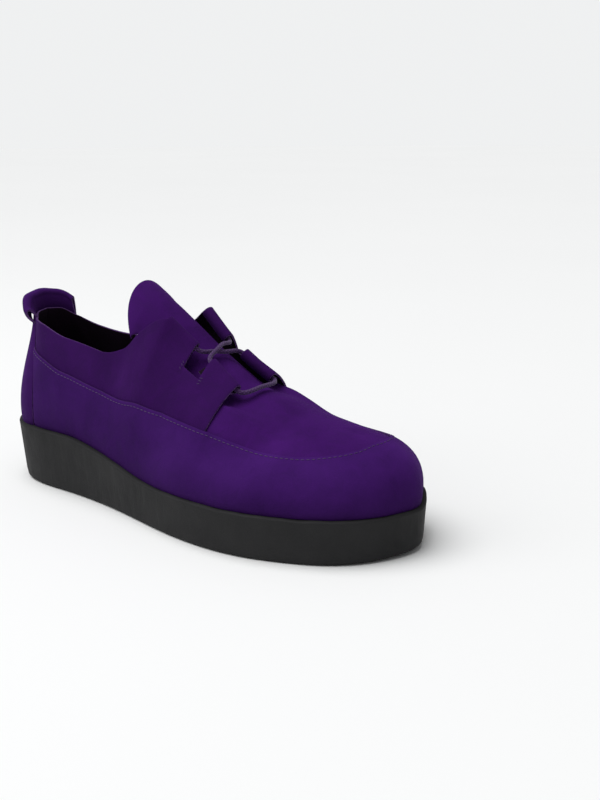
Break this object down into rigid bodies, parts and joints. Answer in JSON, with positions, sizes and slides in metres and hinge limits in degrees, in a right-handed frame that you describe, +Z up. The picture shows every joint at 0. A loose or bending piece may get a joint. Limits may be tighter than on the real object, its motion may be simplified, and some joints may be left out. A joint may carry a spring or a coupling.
{
  "type": "laced suede loafer",
  "caption": "Right suede moccasin-toe loafer with rolled lace tunnels, a loop-topped heel panel and a black wedge platform sole.",
  "frame": {"origin": "on the floor under the middle of the shoe's bounding box", "axes": "+X from heel to toe, +Y towards the inner side of the foot, +Z up"},
  "size_m": [0.2746, 0.107, 0.1226],
  "materials": {
    "sole_rubber": "matt black crepe rubber with a fine grain",
    "insole_lining": "dark matt lining leather",
    "upper_suede": "purple suede with a fine nap and raw cut edges",
    "tongue_suede": "purple suede with a fine nap",
    "panel_suede": "purple suede with a fine nap",
    "lace_cord": "round woven cord, a lighter purple"
  },
  "bodies": {
    "root": {"outsole": "sole_rubber", "insole": "insole_lining", "upper": "upper_suede", "tongue": "tongue_suede", "heel_panel": "panel_suede", "lace": "lace_cord"}
  },
  "joints": []
}
